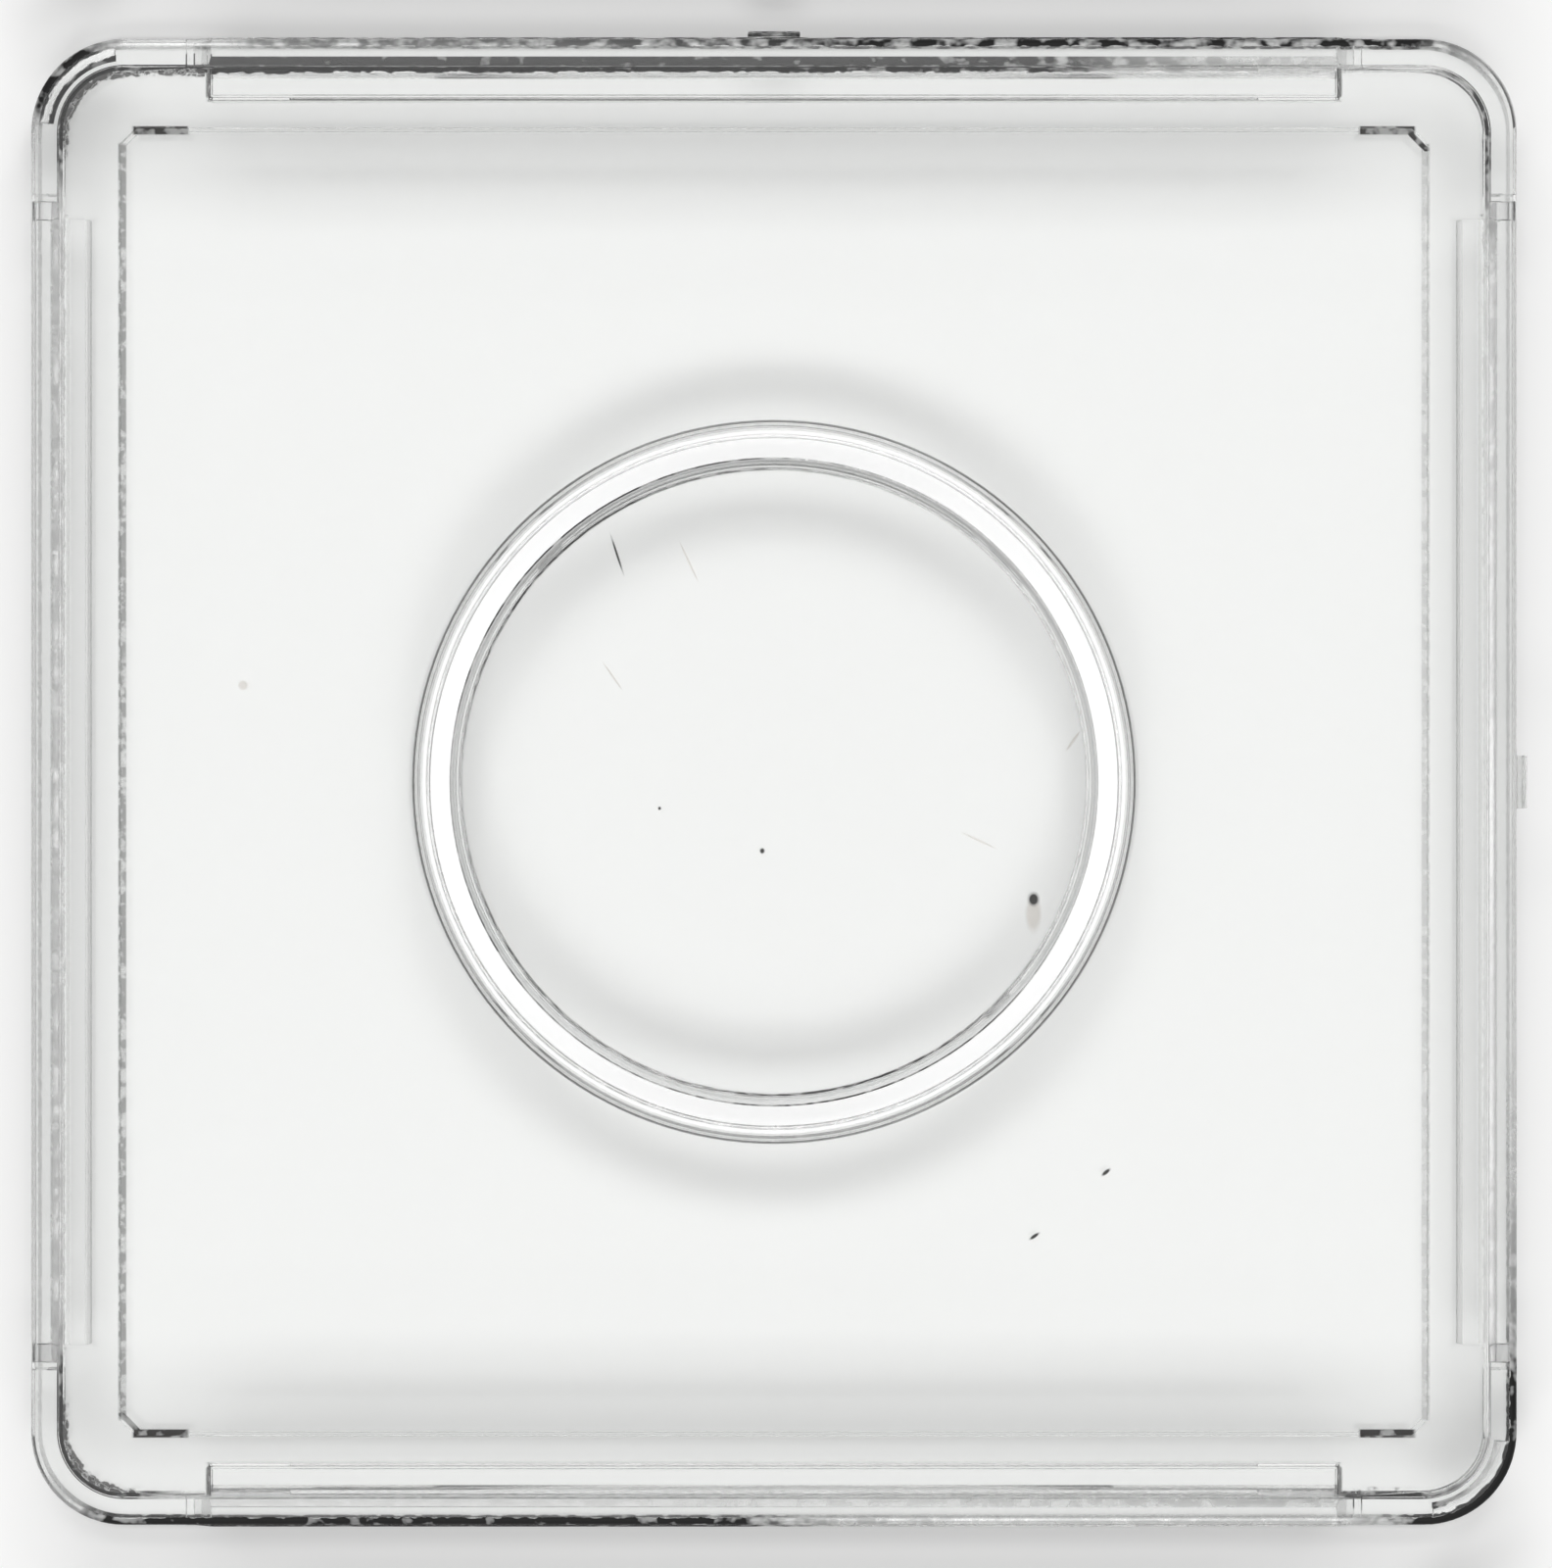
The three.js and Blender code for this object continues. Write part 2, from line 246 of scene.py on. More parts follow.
class PlasticSettings(bpy.types.PropertyGroup):
    """Colour and surface of the clear plastic."""

    tint: FloatVectorProperty(
        name="Tint",
        description="Colour that the plastic gives to light on its way through",
        default=(0.985, 0.99, 0.985),
        size=3,
        min=0.0,
        max=1.0,
        subtype="COLOR",
    )
    refraction: FloatProperty(
        name="Refractive index",
        description="How strongly the plastic bends light",
        default=1.59,
        min=1.0,
        max=2.5,
    )
    polish: FloatProperty(
        name="Roughness",
        description="Roughness of a clean moulded face",
        default=0.03,
        min=0.0,
        max=1.0,
        subtype="FACTOR",
    )
    smear: FloatProperty(
        name="Smears",
        description="Roughness that handling adds in faint patches",
        default=0.03,
        min=0.0,
        max=1.0,
        subtype="FACTOR",
    )
    # Near-black colour of the painted shade along edges, window step and wall foot, and of the
    # specks.
    shade_and_speck_colour: FloatVectorProperty(
        name="Grime",
        description="Colour of the dirt in the moulded edges and of the specks",
        default=(0.0006, 0.0005, 0.0004),
        size=3,
        min=0.0,
        max=1.0,
        subtype="COLOR",
    )
    stain_colour: FloatVectorProperty(
        name="Stain",
        description="Colour of the faint marks on the window",
        default=(0.42, 0.33, 0.24),
        size=3,
        min=0.0,
        max=1.0,
        subtype="COLOR",
    )
    # Roughness where the painted shade and the specks lie.
    shade_and_speck_dullness: FloatProperty(
        name="Grime roughness",
        description="Roughness where dirt lies",
        default=0.7,
        min=0.0,
        max=1.0,
        subtype="FACTOR",
    )
    shadow_depth: FloatProperty(
        name="Shadow depth",
        description="Share of the lamp light that a slanting face turns aside",
        default=0.25,
        min=0.0,
        max=1.0,
        subtype="FACTOR",
    )
    edge_shadow: FloatProperty(
        name="Edge shadow",
        description="Share of the lamp light that a rounded edge to north or south turns aside",
        default=0.95,
        min=0.0,
        max=1.0,
        subtype="FACTOR",
    )
    side_edge_shadow: FloatProperty(
        name="Side edge shadow",
        description="Share of the lamp light that a rounded edge to east or west turns aside",
        default=0.4,
        min=0.0,
        max=1.0,
        subtype="FACTOR",
    )
    edge_gloss: FloatProperty(
        name="Edge gloss",
        description="Specular level of the rounded edges",
        default=0.2,
        min=0.0,
        max=1.0,
        subtype="FACTOR",
    )
    wave_strength: FloatProperty(
        name="Waves",
        description="Strength of the faint waves in the moulded faces",
        default=0.25,
        min=0.0,
        max=1.0,
        subtype="FACTOR",
    )
    wave_depth: FloatProperty(
        name="Wave depth",
        description="Depth of the faint waves in the moulded faces",
        default=0.00002,
        min=0.0,
        subtype="DISTANCE",
        unit="LENGTH",
        precision=6,
    )
    frost_pass: FloatProperty(
        name="Frost",
        description="Share of the lamp light that passes a frosted face",
        default=0.3,
        min=0.0,
        max=1.0,
        subtype="FACTOR",
    )
    frost_clearness: FloatProperty(
        name="Frost clearness",
        description="Share of the frosted faces' look that is clear plastic",
        default=0.15,
        min=0.0,
        max=1.0,
        subtype="FACTOR",
    )
    # A painted glow: the frosted ring faces give off light, though they are no lamp.
    frost_painted_glow: FloatProperty(
        name="Frost glow",
        description="Light that the rings gather and give off again at their frosted faces",
        default=0.1,
        min=0.0,
        max=1.0,
    )


class StageSettings(bpy.types.PropertyGroup):
    """Camera, lamps and table."""

    camera_height: FloatProperty(
        name="Camera height",
        description="Distance from the seam of the holder up to the camera",
        default=0.9,
        subtype="DISTANCE",
        unit="LENGTH",
    )
    view_height: FloatProperty(
        name="View height",
        description="Height of the picture at the seam of the holder",
        default=0.0536,
        subtype="DISTANCE",
        unit="LENGTH",
    )
    north_power: FloatProperty(
        name="North lamp",
        description="Power of the long lamp to the north",
        default=13.7,
        min=0.0,
        subtype="POWER",
        unit="POWER",
    )
    south_power: FloatProperty(
        name="South lamp",
        description="Power of the long lamp to the south",
        default=13.7,
        min=0.0,
        subtype="POWER",
        unit="POWER",
    )
    lamp_elevation: FloatProperty(
        name="Lamp elevation",
        description="Angle of each long lamp above the table",
        default=math.radians(55),
        subtype="ANGLE",
        unit="ROTATION",
    )
    lamp_distance: FloatProperty(
        name="Lamp distance",
        description="Distance from the holder to each long lamp",
        default=1.6,
        subtype="DISTANCE",
        unit="LENGTH",
    )
    lamp_length: FloatProperty(
        name="Lamp length",
        description="Length of each long lamp",
        default=1.12,
        subtype="DISTANCE",
        unit="LENGTH",
    )
    lamp_width: FloatProperty(
        name="Lamp width",
        description="Width of each long lamp",
        default=0.48,
        subtype="DISTANCE",
        unit="LENGTH",
    )
    sky_fill: FloatProperty(
        name="Sky fill",
        description="Strength of the even light that the sky gives",
        default=0.25,
        min=0.0,
    )
    sky_top: FloatProperty(
        name="Sky overhead",
        description="How bright the sky overhead looks in the plastic",
        default=1.15,
        min=0.0,
    )
    sky_north: FloatProperty(
        name="Sky north",
        description="How bright the sky low in the north looks in the plastic",
        default=0.2,
        min=0.0,
    )
    sky_south: FloatProperty(
        name="Sky south",
        description="How bright the sky low in the south looks in the plastic",
        default=0.7,
        min=0.0,
    )
    sky_side: FloatProperty(
        name="Sky side",
        description="How bright the sky low in the east and west looks in the plastic",
        default=0.4,
        min=0.0,
    )
    table_colour: FloatVectorProperty(
        name="Table colour",
        description="Colour of the table",
        default=(0.92, 0.92, 0.915),
        size=3,
        min=0.0,
        max=1.0,
        subtype="COLOR",
    )
    table_radius: FloatProperty(
        name="Table radius",
        description="Radius of the round table",
        default=3.0,
        subtype="DISTANCE",
        unit="LENGTH",
    )


def tree_of(material):
    """The node tree of a material or world, emptied."""
    material.use_nodes = True
    tree = material.node_tree
    tree.nodes.clear()
    return tree


def light_path_mix(tree, rays, kind, usual, instead):
    """The usual shader, or another one for one kind of ray."""
    mix = tree.nodes.new("ShaderNodeMixShader")
    tree.links.new(rays.outputs[kind], mix.inputs["Fac"])
    tree.links.new(usual, mix.inputs[1])
    tree.links.new(instead, mix.inputs[2])
    return mix.outputs["Shader"]


def object_place(tree):
    """The place on the object as a vector, in metres."""
    return tree.nodes.new("ShaderNodeTexCoord").outputs["Object"]


def axes_of(tree, vector):
    """The X, Y and Z outputs of a vector."""
    axes = tree.nodes.new("ShaderNodeSeparateXYZ")
    tree.links.new(vector, axes.inputs["Vector"])
    return axes.outputs


def feed(tree, value, socket):
    """Gives a socket a plain value or another node's output."""
    if isinstance(value, bpy.types.NodeSocket):
        tree.links.new(value, socket)
    else:
        socket.default_value = value


def math_node(tree, operation, first, second=None, clamp=False):
    """A maths node; each input is a number or a socket. Returns its output."""
    node = tree.nodes.new("ShaderNodeMath")
    node.operation = operation
    node.use_clamp = clamp
    for socket, value in zip(node.inputs, (first, second)):
        if value is not None:
            feed(tree, value, socket)
    return node.outputs[0]


def ramp_node(tree, value, low, high, from_low, from_high):
    """A number that goes smoothly from one level to another as value crosses a range."""
    node = tree.nodes.new("ShaderNodeMapRange")
    node.interpolation_type = "SMOOTHSTEP"
    tree.links.new(value, node.inputs["Value"])
    node.inputs["From Min"].default_value = from_low
    node.inputs["From Max"].default_value = from_high
    node.inputs["To Min"].default_value = low
    node.inputs["To Max"].default_value = high
    return node.outputs["Result"]


def band(tree, value, low, high, soft):
    """1 where a value lies between two limits, with soft ends outside them."""
    rise = ramp_node(tree, value, 0.0, 1.0, low - soft, low)
    fall = ramp_node(tree, value, 1.0, 0.0, high, high + soft)
    return math_node(tree, "MULTIPLY", rise, fall)


def noise_node(tree, place, size, detail=2.0):
    """Noise from 0 to 1 over the object, with grains of about one size in metres."""
    noise = tree.nodes.new("ShaderNodeTexNoise")
    tree.links.new(place, noise.inputs["Vector"])
    noise.inputs["Scale"].default_value = 1 / size
    noise.inputs["Detail"].default_value = detail
    return noise.outputs["Fac"]


def tinted(tree, share, colour, stain_and_shade):
    """A colour, plain or a socket, that goes over to a stain's or painted shade's colour by a
    share.
    """
    mix = tree.nodes.new("ShaderNodeMix")
    mix.data_type = "RGBA"
    tree.links.new(share, mix.inputs["Factor"])
    feed(tree, colour, mix.inputs["A"])
    mix.inputs["B"].default_value = (*stain_and_shade, 1.0)
    return mix.outputs["Result"]


def marks_mask(tree, place, marks):
    """1 inside each mark on the upper window, falling to 0 at its edge."""
    mask = 0.0
    for (x, y), half_width, half_length, turn in marks:
        inside = tree.nodes.new("ShaderNodeMapping")
        inside.vector_type = "TEXTURE"
        tree.links.new(place, inside.inputs["Vector"])
        inside.inputs["Location"].default_value = (x, y, WINDOW_HEIGHT)
        inside.inputs["Rotation"].default_value = (0, 0, math.radians(turn))
        inside.inputs["Scale"].default_value = (half_width, half_length, MARK_DEPTH)
        reach = tree.nodes.new("ShaderNodeVectorMath")
        reach.operation = "LENGTH"
        tree.links.new(inside.outputs["Vector"], reach.inputs[0])
        mark = ramp_node(tree, reach.outputs["Value"], 1.0, 0.0, 0.5, 1.0)
        mask = math_node(tree, "MAXIMUM", mask, mark)
    return mask


def step_painted_shade(tree, place):
    """Painted shade in the upper window step's foot: dark near corners, dashes to west and east.
    """
    x, y, z = axes_of(tree, place)
    out_x = math_node(tree, "ABSOLUTE", x)
    out_y = math_node(tree, "ABSOLUTE", y)

    def up_to_step(out, start):
        """1 between a start and the step's top edge."""
        return band(tree, out, start, STEP_TOP, STEP_SOFTNESS)

    def both(first, second):
        """The product of two masks."""
        return math_node(tree, "MULTIPLY", first, second)

    ends = band(tree, out_x, *CORNER_DASH_SPAN, DASH_END_SOFTNESS)
    corners = both(up_to_step(out_y, CORNER_DASH_FOOT), ends)
    in_corner = both(
        up_to_step(out_y, ACROSS_CORNER_START), up_to_step(out_x, ACROSS_CORNER_START)
    )
    diagonal = math_node(tree, "ABSOLUTE", math_node(tree, "ADD", x, y))
    across = both(band(tree, diagonal, *ACROSS_CORNER_SUM, STEP_SOFTNESS), in_corner)
    corners = math_node(tree, "MAXIMUM", corners, across)
    grain = noise_node(tree, place, CORNER_DASH_GRAIN)
    corners = both(corners, ramp_node(tree, grain, 0.8, 1.0, 0.35, 0.5))

    ends = ramp_node(tree, out_y, 1.0, 0.0, SIDE_DASH_END, SIDE_DASH_END + DASH_END_SOFTNESS)
    sides = both(up_to_step(out_x, SIDE_DASH_FOOT), ends)
    grain = noise_node(tree, place, SIDE_DASH_GRAIN)
    sides = both(sides, ramp_node(tree, grain, 0.45, 1.0, 0.36, 0.56))
    side_level = ramp_node(
        tree, x, WEST_DASH_LEVEL, EAST_DASH_LEVEL, -CORNER_START, CORNER_START
    )
    sides = both(sides, side_level)
    on_top = ramp_node(tree, z, 0.0, 1.0, WINDOW_HEIGHT - MARK_DEPTH / 2, WINDOW_HEIGHT)
    return both(math_node(tree, "MAXIMUM", corners, sides), on_top)


def level_round(tree, turn, table):
    """The level that a table of (degrees, level) gives for a turn from 0 to 1."""
    ramp = tree.nodes.new("ShaderNodeValToRGB")
    tree.links.new(turn, ramp.inputs["Fac"])
    stops = ramp.color_ramp.elements
    for stop, level in ((stops[0], table[0][1]), (stops[-1], table[-1][1])):
        stop.color = (level, level, level, 1.0)
    for degrees, level in table[1:-1]:
        stops.new(degrees / 360).color = (level, level, level, 1.0)
    return ramp.outputs["Color"]


def length_of(tree, across, along):
    """The length of a flat vector, from its two parts."""
    squares = [math_node(tree, "MULTIPLY", part, part) for part in (across, along)]
    return math_node(tree, "SQRT", math_node(tree, "ADD", *squares))


def turn_of(tree, place):
    """The direction of a place from the middle, from 0 to 1 all the way round from +X."""
    x, y, _ = axes_of(tree, place)
    turn = math_node(tree, "ARCTAN2", y, x)
    return math_node(tree, "FRACT", math_node(tree, "DIVIDE", turn, 2 * math.pi))


def reach_of(tree, place):
    """How far a place lies past the start of the rounded corners, made a little ragged."""
    x, y, _ = axes_of(tree, place)
    beyond = []
    for axis in (x, y):
        out = math_node(tree, "SUBTRACT", math_node(tree, "ABSOLUTE", axis), CORNER_START)
        beyond.append(math_node(tree, "MAXIMUM", out, 0.0))
    noise = noise_node(tree, place, RAGGED_GRAIN)
    ragged = ramp_node(tree, noise, -RAGGEDNESS, RAGGEDNESS, 0.3, 0.7)
    return math_node(tree, "ADD", length_of(tree, *beyond), ragged)


def edge_painted_shade(tree, place):
    """How dark the painted shade on an edge of a wall or ring is, by its band and direction."""
    x, y, _ = axes_of(tree, place)
    radius = length_of(tree, x, y)
    reach = reach_of(tree, place)
    turn = turn_of(tree, place)
    level = 0.0
    for table, distance, limits in (
        (WALL_INNER_SHADE, reach, WALL_INNER_BAND),
        (WALL_OUTER_SHADE, reach, WALL_OUTER_BAND),
        (RING_INNER_SHADE, radius, RING_INNER_BAND),
        (RING_OUTER_SHADE, radius, RING_OUTER_BAND),
    ):
        here = band(tree, distance, *limits, BAND_SOFTNESS)
        here = math_node(tree, "MULTIPLY", level_round(tree, turn, table), here)
        level = math_node(tree, "MAXIMUM", level, here)
    return level


def floor_painted_shade(tree, place):
    """Painted shade on the inside of a panel, along the foot of the wall."""
    z = axes_of(tree, place)["Z"]
    height = math_node(tree, "ABSOLUTE", math_node(tree, "SUBTRACT", z, SEAM_HEIGHT))
    lowest, highest = PANEL_INNER_FACE - FLOOR_SHADE_SPAN, PANEL_INNER_FACE + FLOOR_SHADE_SPAN
    on_panel = band(tree, height, lowest, highest, FLOOR_SHADE_SPAN / 2)
    level = level_round(tree, turn_of(tree, place), WALL_INNER_SHADE)
    near_wall = ramp_node(tree, reach_of(tree, place), 0.0, 1.0, *WALL_FOOT_BAND)
    level = math_node(tree, "MULTIPLY", level, near_wall)
    noise = noise_node(tree, place, FLOOR_SHADE_GRAIN, 3.0)
    grain = ramp_node(tree, noise, -0.12, 0.12, 0.3, 0.7)
    # Painted shade along the wall foot, made ragged by noise.
    painted_shade = ramp_node(tree, math_node(tree, "ADD", level, grain), 0.0, 1.0, 0.85, 1.0)
    return math_node(tree, "MULTIPLY", painted_shade, on_panel)


def passed_share(tree, settings):
    """The share of lamp light that a clear face lets straight through.

    A slanting face turns some light aside. A face that light only grazes mirrors it on to
    where it was going, so it counts as passed."""
    slant = tree.nodes.new("ShaderNodeLayerWeight")
    slant.inputs["Blend"].default_value = 0.5
    facing = slant.outputs["Facing"]
    slanting = ramp_node(tree, facing, 0.0, settings.shadow_depth, *SLANTING)
    not_grazed = ramp_node(tree, facing, 1.0, 0.0, *GRAZED)
    turned = math_node(tree, "MULTIPLY", slanting, not_grazed)
    return math_node(tree, "SUBTRACT", 1.0, turned)


def share_past_edge(tree, settings):
    """The share of lamp light that passes a rounded edge, least to north and south."""
    normal = tree.nodes.new("ShaderNodeNewGeometry").outputs["Normal"]
    towards_lamp = math_node(tree, "ABSOLUTE", axes_of(tree, normal)["Y"])
    most, least = 1.0 - settings.side_edge_shadow, 1.0 - settings.edge_shadow
    return ramp_node(tree, towards_lamp, most, least, *TOWARDS_LAMP)


def see_through_surface(tree, shader, passed):
    """The plastic's shader for what is seen, and straight passage for the light of lamps."""
    passing = tree.nodes.new("ShaderNodeBsdfTransparent")
    feed(tree, passed, passing.inputs["Color"])
    rays = tree.nodes.new("ShaderNodeLightPath")
    surface = shader.outputs["BSDF"]
    for kind in ("Is Diffuse Ray", "Is Shadow Ray"):
        surface = light_path_mix(tree, rays, kind, surface, passing.outputs["BSDF"])
    output = tree.nodes.new("ShaderNodeOutputMaterial")
    tree.links.new(surface, output.inputs["Surface"])


def finish_plastic(tree, settings, place, shader, clean, shade_and_specks):
    """Colour, smears and waves of the plastic, with painted shade and specks over it by a share.
    """
    shader.inputs["IOR"].default_value = settings.refraction
    tree.links.new(tinted(tree, shade_and_specks, clean, settings.shade_and_speck_colour), shader.inputs["Base Color"])

    smears = noise_node(tree, place, SMEAR_GRAIN, 4.0)
    roughness = ramp_node(
        tree, smears, settings.polish, settings.polish + settings.smear, 0.4, 0.75
    )
    dull = math_node(tree, "MULTIPLY", shade_and_specks, settings.shade_and_speck_dullness)
    tree.links.new(math_node(tree, "MAXIMUM", roughness, dull), shader.inputs["Roughness"])
    waves = tree.nodes.new("ShaderNodeBump")
    waves.inputs["Strength"].default_value = settings.wave_strength
    waves.inputs["Distance"].default_value = settings.wave_depth
    tree.links.new(noise_node(tree, place, WAVE_GRAIN, 1.0), waves.inputs["Height"])
    tree.links.new(waves.outputs["Normal"], shader.inputs["Normal"])


def clear_plastic(settings):
    """The clear plastic of the flat faces: specks, scratches, faint waves and painted shade."""
    material = bpy.data.materials.get("clear_polystyrene_fine")
    if material:
        return material
    material = bpy.data.materials.new("clear_polystyrene_fine")
    tree = tree_of(material)
    place = object_place(tree)
    shader = tree.nodes.new("ShaderNodeBsdfPrincipled")
    shader.inputs["Transmission Weight"].default_value = 1.0
    # Painted shade along the window step and the wall foot, together with the real specks.
    shade_and_specks = math_node(tree, "MAXIMUM", step_painted_shade(tree, place), marks_mask(tree, place, MARKS))
    shade_and_specks = math_node(tree, "MAXIMUM", shade_and_specks, floor_painted_shade(tree, place))
    faint = math_node(tree, "MULTIPLY", marks_mask(tree, place, FAINT_MARKS), 0.5)
    clean = tinted(tree, faint, (*settings.tint, 1.0), settings.stain_colour)
    finish_plastic(tree, settings, place, shader, clean, shade_and_specks)
    see_through_surface(tree, shader, passed_share(tree, settings))
    return material


def shaded_edge_plastic(settings):
    """Clear plastic of rounded and slanting edges, with painted shade on it as an opaque dark
    layer.
    """
    material = bpy.data.materials.get("shaded_polystyrene_edge")
    if material:
        return material
    material = bpy.data.materials.new("shaded_polystyrene_edge")
    tree = tree_of(material)
    place = object_place(tree)
    shader = tree.nodes.new("ShaderNodeBsdfPrincipled")
    shader.inputs["Specular IOR Level"].default_value = settings.edge_gloss
    patches = ramp_node(tree, noise_node(tree, place, PATCH_GRAIN), 0.8, 1.6, 0.3, 0.6)
    # This is painted shade: dark lines along the edges, their level set by direction.
    shade_film = math_node(tree, "MULTIPLY", edge_painted_shade(tree, place), patches, clamp=True)
    clear = math_node(tree, "SUBTRACT", 1.0, shade_film)
    tree.links.new(clear, shader.inputs["Transmission Weight"])
    finish_plastic(tree, settings, place, shader, (*settings.tint, 1.0), shade_film)
    see_through_surface(tree, shader, share_past_edge(tree, settings))
    return material


def frosted_glowing_plastic(settings):
    """The milky faces where the two rings meet, given a painted glow."""
    material = bpy.data.materials.get("frosted_glowing_polystyrene")
    if material:
        return material
    material = bpy.data.materials.new("frosted_glowing_polystyrene")
    tree = tree_of(material)
    place = object_place(tree)
    shader = tree.nodes.new("ShaderNodeBsdfPrincipled")
    shader.inputs["Base Color"].default_value = (1.0, 1.0, 1.0, 1.0)
    shader.inputs["IOR"].default_value = settings.refraction
    shader.inputs["Transmission Weight"].default_value = settings.frost_clearness
    # Painted glow, not a lamp.
    shader.inputs["Emission Color"].default_value = (1.0, 1.0, 1.0, 1.0)
    shader.inputs["Emission Strength"].default_value = settings.frost_painted_glow
    grain = noise_node(tree, place, FROST_GRAIN)
    roughness = ramp_node(tree, grain, 0.35, 0.6, 0.3, 0.7)
    tree.links.new(roughness, shader.inputs["Roughness"])
    see_through_surface(tree, shader, (*[settings.frost_pass] * 3, 1.0))
    return material


def own_place(node, point):
    """A point as its own half has it: seam at z = 0, window side down, tongues at +Y and -Y."""
    if node == "lower_half":
        return Vector((point.x, point.y, point.z - SEAM_HEIGHT))
    return Vector((point.y, point.x, SEAM_HEIGHT - point.z))


def round_edges(shape, edges, reach, steps):
    """Rounds some edges of a mesh and returns the new faces."""
    made = bmesh.ops.bevel(
        shape,
        geom=edges,
        offset=reach,
        segments=steps,
        profile=0.5,
        affect="EDGES",
        clamp_overlap=False,
    )
    return made["faces"]


def sharp_edges(shape, angle):
    """The edges that turn by more than an angle."""
    return [
        edge
        for edge in shape.edges
        if len(edge.link_faces) == 2 and edge.calc_face_angle(0.0) > angle
    ]


def straighten_window_step(shape, node, share):
    """Moves the foot of the window step out under its top edge."""
    for vertex in shape.verts:
        if abs(own_place(node, vertex.co).z + WINDOW_FACE) > ON_FACE:
            continue
        for edge in vertex.link_edges:
            top = edge.other_vert(vertex)
            if abs(own_place(node, top.co).z + OUTER_FACE) < ON_FACE:
                vertex.co.xy = vertex.co.xy.lerp(top.co.xy, share)
                break


def is_root(node, edge):
    """True for an inner corner where a wall or skirt stands on the panel."""
    ends = [own_place(node, vertex.co) for vertex in edge.verts]
    return not edge.is_convex and all(
        abs(end.z + PANEL_INNER_FACE) < ON_FACE and outside(end) for end in ends
    )


def is_window_step(node, edge):
    """True for an edge of the step between rim and window."""
    ends = [own_place(node, vertex.co) for vertex in edge.verts]
    return all(end.z < -WINDOW_FACE + ON_FACE and not outside(end) for end in ends)


def outside(place):
    """True for a place in the walls and skirts, outside the window."""
    return max(abs(place.x), abs(place.y)) > CAVITY_EDGE


def takes_painted_shade(place, normal):
    """True for walls' slanting faces with painted shade: lead-ins, fillets and the outer
    rounding.
    """
    lowest, highest = SHADED_SLOPE
    slanting = lowest < abs(normal.z) < highest
    along = normal.x if abs(place.y) > abs(place.x) else normal.y
    in_corner = min(abs(place.x), abs(place.y)) > CORNER_START
    return slanting and outside(place) and (in_corner or abs(along) < SHADED_TURN)


def fine_moulding(node, settings):
    """A finer copy of one half's mesh: flat faces merged, roots filleted and edges rounded."""
    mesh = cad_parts[node].data.copy()
    mesh.name = node + "_fine"
    mesh.materials.clear()
    shape = bmesh.new()
    shape.from_mesh(mesh)
    bmesh.ops.remove_doubles(shape, verts=shape.verts, dist=SAME_POINT)
    bmesh.ops.dissolve_limit(
        shape, angle_limit=FLAT_ANGLE, verts=shape.verts, edges=shape.edges
    )
    straighten_window_step(shape, node, settings.step_upright)
    for vertex in shape.verts:
        if abs(vertex.co.z - SEAM_HEIGHT) < SAME_POINT:
            vertex.co.z += settings.seam_relief * (-1 if node == "lower_half" else 1)

    def sharp(at_window_step):
        """The sharp edges of the window step, or all the others."""
        return [
            edge
            for edge in sharp_edges(shape, settings.sharp_angle)
            if is_window_step(node, edge) == at_window_step
        ]

    roots = [edge for edge in shape.edges if is_root(node, edge)]
    round_edges(shape, roots, settings.root_round, ROOT_STEPS)
    round_edges(shape, sharp(True), settings.step_round, 1)
    rounded = set(round_edges(shape, sharp(False), settings.edge_round, settings.edge_steps))
    shape.normal_update()
    for face in shape.faces:
        face.smooth = True
        centre = face.calc_center_median()
        own = own_place(node, centre)
        # Rounded and slanting faces get the edge material that carries the painted shade.
        if face in rounded or takes_painted_shade(centre, face.normal):
            face.material_index = SHADED_EDGES
        elif abs(own.z + RING_FACE) < ON_FACE and own.xy.length < RING_RADIUS:
            face.material_index = FROSTED
    bmesh.ops.dissolve_degenerate(shape, edges=shape.edges, dist=ON_FACE)
    shape.to_mesh(mesh)
    shape.free()
    return mesh


def build_half(context, node):
    """One half of the holder, in place of its plain solid."""
    scene = context.scene
    mesh = fine_moulding(node, scene.holder_moulding)
    piece = bpy.data.objects.new(node + "_moulding", mesh)
    scene.collection.objects.link(piece)
    mesh.materials.append(clear_plastic(scene.holder_plastic))
    mesh.materials.append(frosted_glowing_plastic(scene.holder_plastic))
    mesh.materials.append(shaded_edge_plastic(scene.holder_plastic))
    normals = piece.modifiers.new("even_normals", "WEIGHTED_NORMAL")
    normals.keep_sharp = False
    normals.weight = 100
    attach(piece, HALVES[node])
    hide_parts(node)


class HOLDER_OT_lower_half(bpy.types.Operator):
    """Builds the lower half of the holder"""

    bl_idname = "coin_holder.lower_half"
    bl_label = "Lower Half"

    def execute(self, context):
        build_half(context, "lower_half")
        return {"FINISHED"}


class HOLDER_OT_upper_half(bpy.types.Operator):
    """Builds the upper half of the holder"""

    bl_idname = "coin_holder.upper_half"
    bl_label = "Upper Half"

    def execute(self, context):
        build_half(context, "upper_half")
        return {"FINISHED"}


def aim(thing, target):
    """Turns a lamp to look at a point, with +Y up in its view."""
    direction = Vector(target) - thing.location
    thing.rotation_euler = direction.to_track_quat("-Z", "Y").to_euler()


def add_lamp(scene, name, place, size, power):
    """A long soft lamp that looks at the holder, and isn't seen through its plastic."""
    light = bpy.data.lights.new(name, "AREA")
    light.shape = "RECTANGLE"
    light.size, light.size_y = size
    light.energy = power
    lamp = bpy.data.objects.new(name, light)
    scene.collection.objects.link(lamp)
    lamp.location = place
    lamp.visible_transmission = False
    aim(lamp, (0, 0, 0))


def background(tree, colour, strength):
    """A background of a plain colour, with a plain strength or a socket's."""
    node = tree.nodes.new("ShaderNodeBackground")
    node.inputs["Color"].default_value = (*colour, 1)
    feed(tree, strength, node.inputs["Strength"])
    return node.outputs["Background"]


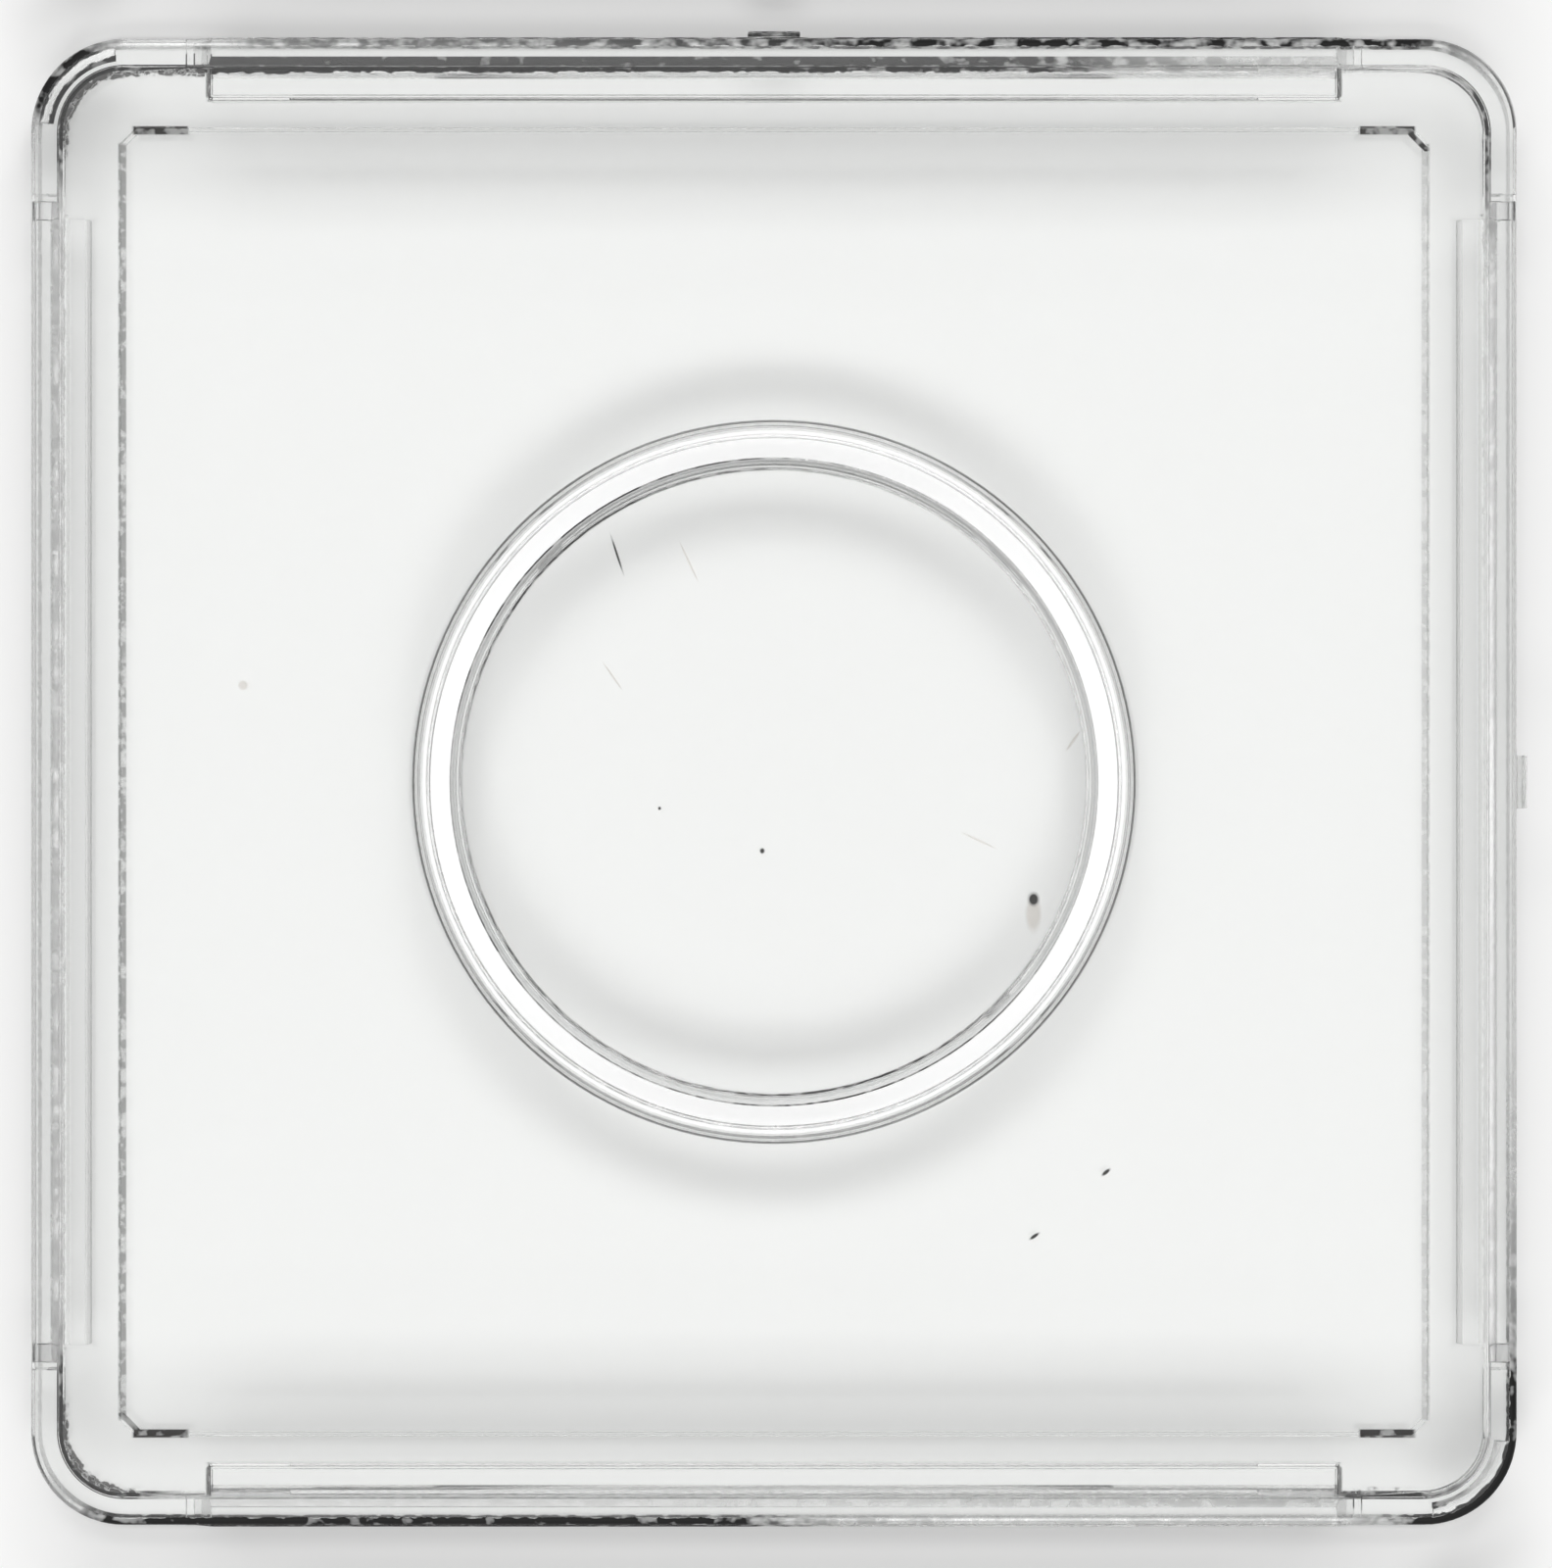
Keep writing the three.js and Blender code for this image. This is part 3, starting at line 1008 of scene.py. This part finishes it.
def pale_sky(settings):
    """Even light, a sky for the plastic to show, and a plain pale backdrop for the camera."""
    world = bpy.data.worlds.new("pale_sky")
    tree = tree_of(world)
    _, y, z = axes_of(tree, tree.nodes.new("ShaderNodeTexCoord").outputs["Generated"])
    north = ramp_node(tree, y, settings.sky_side, settings.sky_north, *SKY_NORTHWARD)
    south = ramp_node(tree, y, settings.sky_south, 0.0, *SKY_SOUTHWARD)
    horizon = math_node(tree, "MAXIMUM", north, south)
    height = ramp_node(tree, z, 0.0, 1.0, *SKY_UPWARD)
    low = math_node(tree, "MULTIPLY", horizon, math_node(tree, "SUBTRACT", 1.0, height))
    high = math_node(tree, "MULTIPLY", settings.sky_top, height)

    seen = background(tree, (1, 1, 1), math_node(tree, "ADD", low, high))
    backdrop = background(tree, settings.table_colour, 1.0)
    surface = background(tree, (1, 1, 1), settings.sky_fill)
    rays = tree.nodes.new("ShaderNodeLightPath")
    for kind, shown in (
        ("Is Glossy Ray", seen),
        ("Is Transmission Ray", seen),
        ("Is Camera Ray", backdrop),
    ):
        surface = light_path_mix(tree, rays, kind, surface, shown)
    output = tree.nodes.new("ShaderNodeOutputWorld")
    tree.links.new(surface, output.inputs["Surface"])
    return world


class HOLDER_OT_stage(bpy.types.Operator):
    """Sets the table, the lamps and the camera"""

    bl_idname = "coin_holder.stage"
    bl_label = "Stage"

    def execute(self, context):
        scene = context.scene
        settings = scene.holder_stage
        scene.view_settings.view_transform = "Standard"

        camera = bpy.data.objects.new("camera", bpy.data.cameras.new("camera"))
        scene.collection.objects.link(camera)
        scene.camera = camera
        camera.data.sensor_width = SENSOR_WIDTH
        camera.data.lens = SENSOR_WIDTH * settings.camera_height / settings.view_height
        camera.data.clip_start = 0.01
        camera.data.clip_end = 10
        camera.location = (*VIEW_MIDDLE, SEAM_HEIGHT + settings.camera_height)

        out = settings.lamp_distance * math.cos(settings.lamp_elevation)
        up = settings.lamp_distance * math.sin(settings.lamp_elevation)
        size = (settings.lamp_length, settings.lamp_width)
        add_lamp(scene, "north_lamp", (0, out, up), size, settings.north_power)
        add_lamp(scene, "south_lamp", (0, -out, up), size, settings.south_power)

        scene.world = pale_sky(settings)

        bpy.ops.mesh.primitive_circle_add(
            vertices=96,
            radius=settings.table_radius,
            fill_type="NGON",
            location=(0, 0, -TABLE_DROP),
        )
        table = context.object
        table.name = "table"
        material = bpy.data.materials.new("table_paint")
        tree = tree_of(material)
        shader = tree.nodes.new("ShaderNodeBsdfPrincipled")
        shader.inputs["Base Color"].default_value = (*settings.table_colour, 1)
        shader.inputs["Roughness"].default_value = 0.9
        shader.inputs["Specular IOR Level"].default_value = 0.0
        output = tree.nodes.new("ShaderNodeOutputMaterial")
        tree.links.new(shader.outputs["BSDF"], output.inputs["Surface"])
        table.data.materials.append(material)
        return {"FINISHED"}


class HOLDER_PT_panel(bpy.types.Panel):
    """Lists the steps that build the coin holder"""

    bl_label = "Coin Holder"
    bl_idname = "HOLDER_PT_panel"
    bl_space_type = "VIEW_3D"
    bl_region_type = "UI"
    bl_category = "Coin Holder"

    def draw(self, context):
        layout = self.layout
        for operator in STEPS:
            layout.operator(operator.bl_idname)


STEPS = (HOLDER_OT_lower_half, HOLDER_OT_upper_half, HOLDER_OT_stage)
CLASSES = (MouldingSettings, PlasticSettings, StageSettings, *STEPS, HOLDER_PT_panel)


def register():
    for cls in CLASSES:
        bpy.utils.register_class(cls)
    bpy.types.Scene.holder_moulding = PointerProperty(type=MouldingSettings)
    bpy.types.Scene.holder_plastic = PointerProperty(type=PlasticSettings)
    bpy.types.Scene.holder_stage = PointerProperty(type=StageSettings)


def unregister():
    del bpy.types.Scene.holder_stage
    del bpy.types.Scene.holder_plastic
    del bpy.types.Scene.holder_moulding
    for cls in reversed(CLASSES):
        bpy.utils.unregister_class(cls)


def main():
    """Builds the holder and its stage."""
    register()
    bpy.ops.coin_holder.lower_half()
    bpy.ops.coin_holder.upper_half()
    bpy.ops.coin_holder.stage()


if __name__ == "__main__":
    main()
